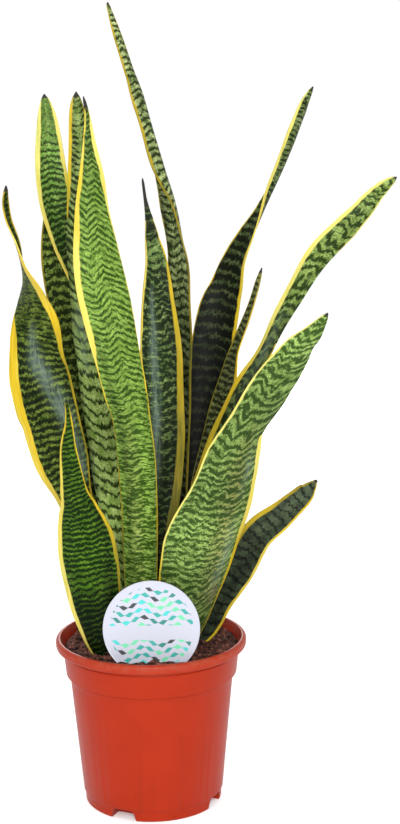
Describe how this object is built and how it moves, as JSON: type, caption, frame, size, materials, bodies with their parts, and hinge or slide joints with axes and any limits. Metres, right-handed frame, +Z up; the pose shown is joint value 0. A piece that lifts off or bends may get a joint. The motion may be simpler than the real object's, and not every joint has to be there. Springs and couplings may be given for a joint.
{
  "type": "potted snake plant",
  "caption": "Potted laurentii snake plant: upright, yellow-edged, dark-banded strap leaves rising from soil in a round terracotta-coloured nursery pot, with a round label on a stake.",
  "frame": {"origin": "on the pot's axis, on the surface that the pot stands on", "axes": "+Z up along the pot's axis, -Y towards the front, where the label is, +X to the viewer's right"},
  "size_m": [0.2434, 0.157, 0.4992],
  "materials": {
    "pot_plastic": "satin",
    "soil": "matt, crumbly",
    "label": "satin, printed",
    "leaf": "waxy satin"
  },
  "bodies": {
    "root": {"pot": "pot_plastic", "soil": "soil", "label": "label", "leaf_left_low": "leaf", "leaf_left_tall": "leaf", "leaf_left_rear": "leaf", "leaf_left_middle": "leaf", "leaf_front_tall": "leaf", "leaf_front_short": "leaf", "leaf_centre": "leaf", "leaf_tallest": "leaf", "leaf_right_rear": "leaf", "leaf_right_thin": "leaf", "leaf_right_long": "leaf", "leaf_right_broad": "leaf", "leaf_right_low": "leaf"}
  },
  "joints": []
}
